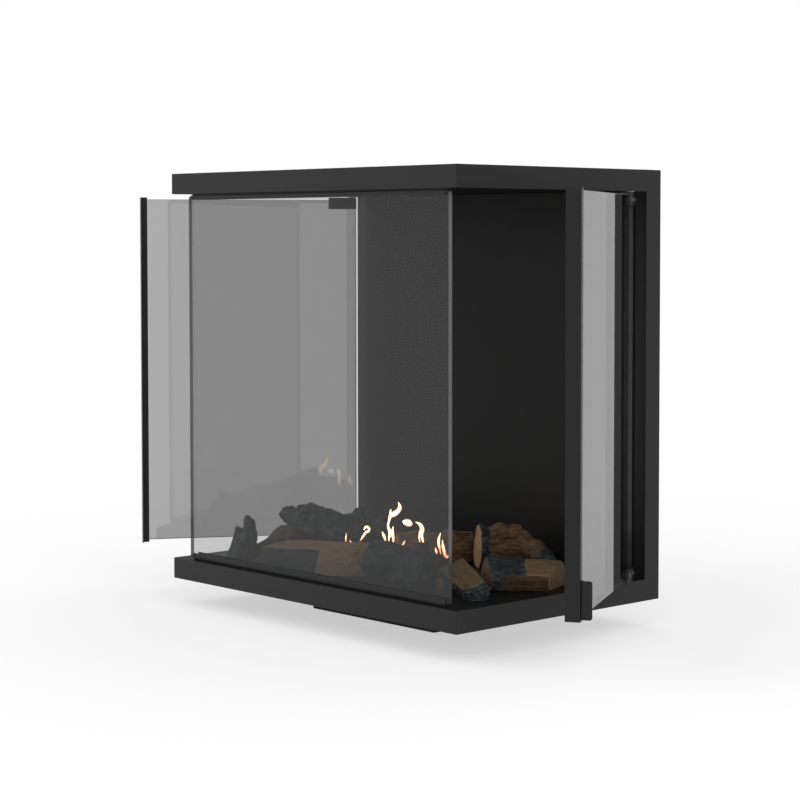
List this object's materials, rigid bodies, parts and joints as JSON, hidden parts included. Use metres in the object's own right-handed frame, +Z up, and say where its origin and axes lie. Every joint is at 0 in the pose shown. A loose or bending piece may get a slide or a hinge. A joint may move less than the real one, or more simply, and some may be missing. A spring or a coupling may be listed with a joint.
{
  "type": "three-sided gas fireplace",
  "caption": "Three-sided gas fireplace: fixed front pane, side glass doors on rear pivots, black base, hood and back column, ceramic logs over a slotted burner, and a round flue socket.",
  "frame": {"origin": "centre of the object's underside, on the floor, in the pose of the picture", "axes": "+X to the right along the front, +Y towards the back column, +Z up"},
  "size_m": [1.2794, 0.523, 0.851],
  "materials": {
    "satin_black": "satin powder coat",
    "matte_black": "matte heat-proof coat",
    "rail_black": "fine satin coat",
    "clear_glass": "clear heat-proof glass",
    "zinc_steel": "zinc plated",
    "pin_steel": "dark satin",
    "brass": "machined",
    "pipe_aluminium": "drawn and cast, plain",
    "fibre_strip": "woven fibre strip",
    "block_rubber": "matte",
    "module_plastic": "fine grained",
    "electrode_ceramic": "glazed white",
    "charred_log": "rough, charred and cracked",
    "brown_log": "rough bark with tan ends",
    "split_log": "split grain over rough bark"
  },
  "bodies": {
    "root": {"base_tray": "satin_black", "rear_casing": "satin_black", "top_hood": "satin_black", "back_liner": "matte_black", "ceiling_panel": "matte_black", "base_cross_rails": "matte_black", "burner_housing": "matte_black", "burner_trough": "matte_black", "burner_plate": "matte_black", "front_bottom_rail": "rail_black", "front_top_rail": "rail_black", "rail_end_caps": "rail_black", "front_glass": "clear_glass", "flue_socket": "zinc_steel", "hinge_plates": "zinc_steel", "pilot_bracket": "zinc_steel", "pilot_burner": "zinc_steel", "thermocouple": "zinc_steel", "gas_injector": "brass", "inlet_fitting": "brass", "pivot_bushes": "brass", "burner_pipe": "pipe_aluminium", "supply_pipe": "pipe_aluminium", "gas_valve": "pipe_aluminium", "glass_gaskets": "fibre_strip", "glass_setting_blocks": "block_rubber", "control_module": "module_plastic", "spark_electrode": "electrode_ceramic", "back_charred_log": "charred_log", "front_charred_log": "charred_log", "diagonal_charred_log": "charred_log", "front_right_log": "charred_log", "stump_log": "brown_log", "left_brown_log": "brown_log", "back_brown_log": "brown_log", "back_short_log": "brown_log", "leaning_log": "brown_log", "front_split_log": "split_log", "right_split_log": "split_log"},
    "right_door": {"right_door_glass": "clear_glass", "right_door_stile": "satin_black", "right_door_tab": "satin_black", "right_tab_rivets": "pin_steel", "right_lower_shoe": "rail_black", "right_upper_shoe": "rail_black", "right_clamp_liners": "fibre_strip", "right_clamp_screws": "pin_steel", "right_lower_pin": "pin_steel", "right_upper_pin": "pin_steel"},
    "left_door": {"left_door_glass": "clear_glass", "left_door_stile": "satin_black", "left_door_tab": "satin_black", "left_tab_rivets": "pin_steel", "left_lower_shoe": "rail_black", "left_upper_shoe": "rail_black", "left_clamp_liners": "fibre_strip", "left_clamp_screws": "pin_steel", "left_lower_pin": "pin_steel", "left_upper_pin": "pin_steel"}
  },
  "joints": [
    {"name": "right_door_hinge", "type": "hinge", "parent": "root", "child": "right_door", "pos_m": [0.3925, 0.1936, 0.451], "axis": [0, 0, 1], "range_deg": [-30.7, 59.3]},
    {"name": "left_door_hinge", "type": "hinge", "parent": "root", "child": "left_door", "pos_m": [-0.3925, 0.1936, 0.451], "axis": [0, 0, -1], "range_deg": [-30.7, 59.3]}
  ]
}
